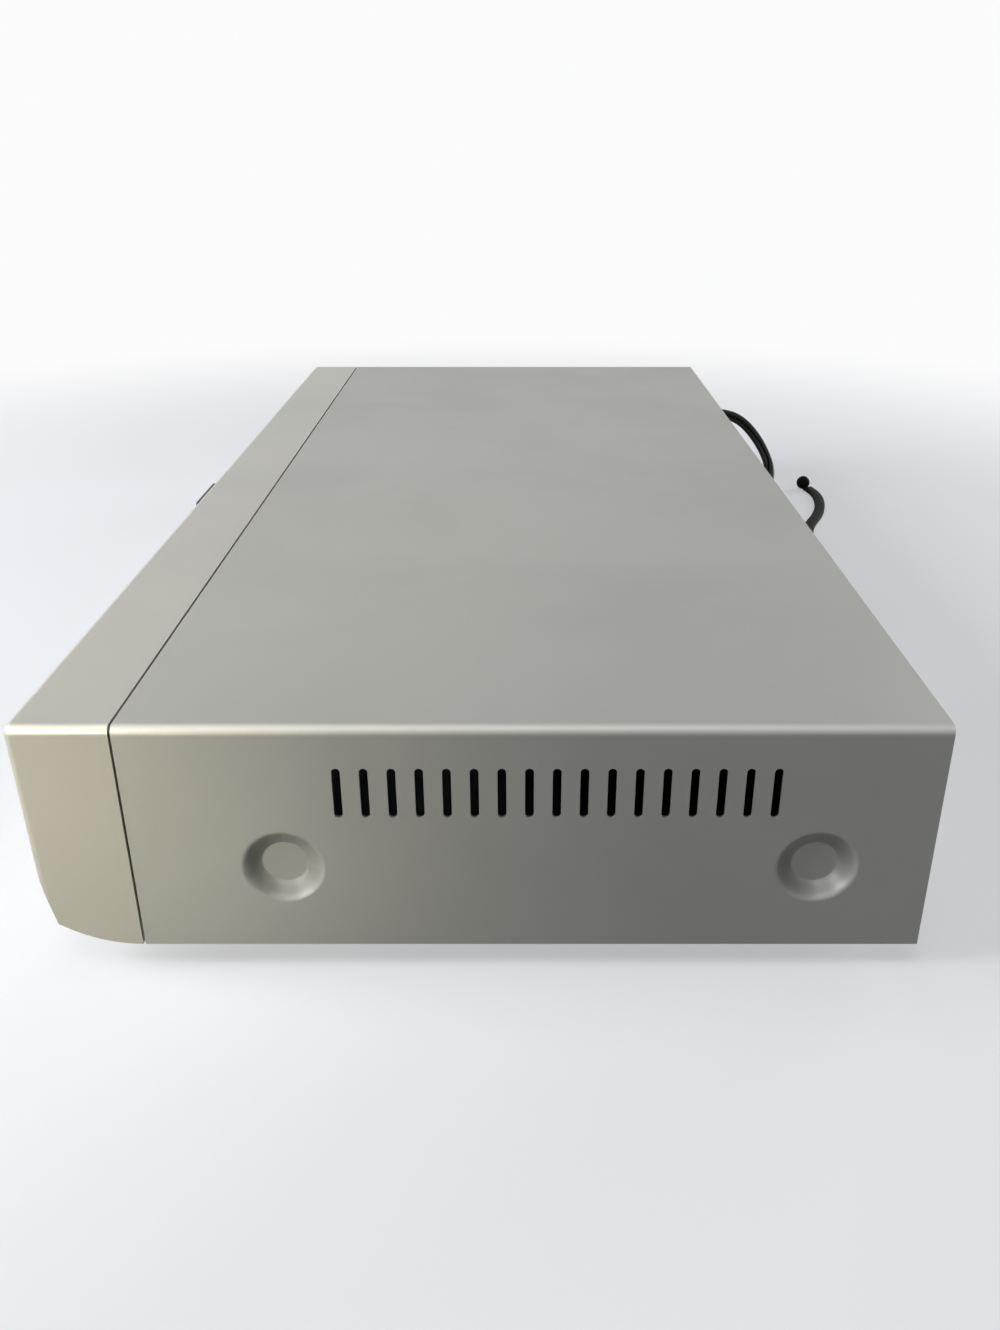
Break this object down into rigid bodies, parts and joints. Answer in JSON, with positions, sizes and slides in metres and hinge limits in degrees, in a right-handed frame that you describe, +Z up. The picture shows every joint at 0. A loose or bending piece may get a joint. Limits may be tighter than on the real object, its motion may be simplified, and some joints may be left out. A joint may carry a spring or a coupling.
{
  "type": "disc player",
  "caption": "Full-width disc player with a folded cover, slotted sides, a moulded front, a sliding disc tray, its loader and pickup, boards, rear sockets and a tied mains lead.",
  "frame": {"origin": "middle of the footprint of the case, its front control and its rear sockets, on the surface that the foot pads stand on", "axes": "+X towards the right end as seen from the front, +Y to the rear, +Z up"},
  "size_m": [0.43, 0.2893, 0.0666],
  "materials": {
    "cover_paint": "satin silver-grey paint on folded steel",
    "front_shell": "satin silver-grey moulded plastic",
    "bright_trim": "satin silver trim",
    "dark_pad": "dark smooth plastic",
    "smoked_window": "dark clear window",
    "tube_glass": "dark display glass",
    "zinc_sheet": "zinc-plated steel sheet",
    "screw_steel": "plated steel",
    "foot_plastic": "black plastic",
    "pad_rubber": "black rubber",
    "board_green": "solder-masked board",
    "chip_black": "black moulded packages",
    "loader_black": "black moulded plastic",
    "tray_plastic": "dark grey moulded plastic",
    "gear_plastic": "white nylon",
    "belt_rubber": "black rubber",
    "motor_steel": "plated steel can",
    "rod_steel": "ground steel",
    "lens_glass": "coated lens",
    "pickup_metal": "die-cast metal",
    "transformer_core": "yellow tape over a dark core",
    "capacitor_sleeve": "dark shrink sleeve",
    "sink_metal": "extruded aluminium",
    "jack_plastic": "black moulded sockets with plated rings",
    "ribbon_white": "flat cable",
    "harness_wire": "insulated wires side by side",
    "cord_black": "black flexible plastic with a slight sheen",
    "strap_black": "black rubber strap",
    "plug_black": "black moulded plug with plated pins"
  },
  "bodies": {
    "player": {"top_cover": "cover_paint", "front_bezel": "front_shell", "control_frame": "bright_trim", "chassis_pan": "zinc_sheet", "rear_panel": "zinc_sheet", "feet": "foot_plastic", "foot_pads": "pad_rubber", "cover_screws": "screw_steel", "inner_screws": "screw_steel", "loader_screws": "screw_steel", "display_window": "smoked_window", "display_tube": "tube_glass", "front_board": "board_green", "tact_switches": "chip_black", "loader_frame": "loader_black", "grommets": "pad_rubber", "clamp_bridge": "zinc_sheet", "loading_belt": "belt_rubber", "loading_motor": "motor_steel", "main_board": "board_green", "main_chips": "chip_black", "power_board": "board_green", "transformer": "transformer_core", "capacitors": "capacitor_sleeve", "heat_sink": "sink_metal", "rca_jacks": "jack_plastic", "video_jack": "jack_plastic", "digital_jack": "jack_plastic", "front_ribbon": "ribbon_white", "loader_ribbon": "ribbon_white", "power_harness": "harness_wire", "strain_relief": "plug_black", "cord_free": "cord_black", "cord_hank": "cord_black", "cord_tail": "cord_black", "mains_plug": "plug_black", "cord_tie": "strap_black"},
    "play_pad": {"play_pad": "dark_pad"},
    "power_button": {"power_button": "bright_trim"},
    "open_button": {"open_button": "bright_trim"},
    "stop_button": {"stop_button": "bright_trim"},
    "pause_button": {"pause_button": "bright_trim"},
    "back_button": {"back_button": "bright_trim"},
    "forward_button": {"forward_button": "bright_trim"},
    "tray": {"disc_tray": "tray_plastic", "tray_front": "front_shell"},
    "drive_gear": {"drive_gear": "gear_plastic"},
    "pulley_gear": {"pulley_gear": "gear_plastic"},
    "motor_pulley": {"motor_pulley": "gear_plastic"},
    "cam_slider": {"cam_slider": "gear_plastic"},
    "turntable": {"turntable": "loader_black"},
    "clamp_puck": {"clamp_puck": "gear_plastic"},
    "sled_gear": {"sled_gear": "gear_plastic"},
    "traverse": {"traverse_plate": "zinc_sheet", "guide_rods": "rod_steel", "spindle_motor": "motor_steel", "sled_motor": "motor_steel"},
    "pickup": {"pickup_body": "pickup_metal"},
    "lens": {"pickup_lens": "lens_glass"}
  },
  "joints": [
    {"name": "tray_slide", "type": "slide", "parent": "player", "child": "tray", "axis": [0, -1, 0], "range_m": [0, 0.136]},
    {"name": "drive_gear_spin", "type": "hinge", "parent": "player", "child": "drive_gear", "pos_m": [-0.1205, -0.08415, 0.04], "axis": [0, 0, 1], "range_deg": [-1, 651]},
    {"name": "pulley_gear_spin", "type": "hinge", "parent": "player", "child": "pulley_gear", "pos_m": [-0.1025, -0.08415, 0.04], "axis": [0, 0, 1], "range_deg": [-1300, 1]},
    {"name": "motor_pulley_spin", "type": "hinge", "parent": "player", "child": "motor_pulley", "pos_m": [-0.0635, -0.08415, 0.038], "axis": [0, 0, 1], "range_deg": [-4080, 5]},
    {"name": "traverse_lift", "type": "slide", "parent": "player", "child": "traverse", "axis": [0, 0, 1], "range_m": [0, 0.005]},
    {"name": "cam_slide", "type": "slide", "parent": "player", "child": "cam_slider", "axis": [1, 0, 0], "range_m": [0, 0.014]},
    {"name": "turntable_spin", "type": "hinge", "parent": "traverse", "child": "turntable", "pos_m": [-0.073, -0.03315, 0.04], "axis": [0, 0, 1], "continuous": true},
    {"name": "puck_spin", "type": "hinge", "parent": "player", "child": "clamp_puck", "pos_m": [-0.073, -0.03315, 0.05], "axis": [0, 0, 1], "continuous": true},
    {"name": "pickup_travel", "type": "slide", "parent": "traverse", "child": "pickup", "axis": [0, 1, 0], "range_m": [0, 0.036]},
    {"name": "sled_gear_spin", "type": "hinge", "parent": "traverse", "child": "sled_gear", "pos_m": [-0.04, -0.00315, 0.033], "axis": [0, 0, 1], "range_deg": [-345, 1]},
    {"name": "lens_focus", "type": "slide", "parent": "pickup", "child": "lens", "axis": [0, 0, 1], "range_m": [-0.0006, 0.0006], "stiffness_N_per_m": 40},
    {"name": "play_pad_press", "type": "slide", "parent": "player", "child": "play_pad", "axis": [0, 1, 0], "range_m": [0, 0.0008], "stiffness_N_per_m": 400},
    {"name": "power_button_press", "type": "slide", "parent": "player", "child": "power_button", "axis": [0, 1, 0], "range_m": [0, 0.0008], "stiffness_N_per_m": 400},
    {"name": "open_button_press", "type": "slide", "parent": "player", "child": "open_button", "axis": [0, 1, 0], "range_m": [0, 0.0008], "stiffness_N_per_m": 400},
    {"name": "stop_button_press", "type": "slide", "parent": "player", "child": "stop_button", "axis": [0, 1, 0], "range_m": [0, 0.0008], "stiffness_N_per_m": 400},
    {"name": "pause_button_press", "type": "slide", "parent": "player", "child": "pause_button", "axis": [0, 1, 0], "range_m": [0, 0.0008], "stiffness_N_per_m": 400},
    {"name": "back_button_press", "type": "slide", "parent": "player", "child": "back_button", "axis": [0, 1, 0], "range_m": [0, 0.0008], "stiffness_N_per_m": 400},
    {"name": "forward_button_press", "type": "slide", "parent": "player", "child": "forward_button", "axis": [0, 1, 0], "range_m": [0, 0.0008], "stiffness_N_per_m": 400}
  ],
  "couplings": [
    {"joint": "drive_gear_spin", "follows": "tray_slide", "rad_per_m": 83.333},
    {"joint": "pulley_gear_spin", "follows": "tray_slide", "rad_per_m": -166.67},
    {"joint": "motor_pulley_spin", "follows": "tray_slide", "rad_per_m": -522.22},
    {"joint": "cam_slide", "follows": "traverse_lift", "ratio": 2.8},
    {"joint": "puck_spin", "follows": "turntable_spin", "ratio": 1},
    {"joint": "sled_gear_spin", "follows": "pickup_travel", "rad_per_m": -166.67}
  ]
}
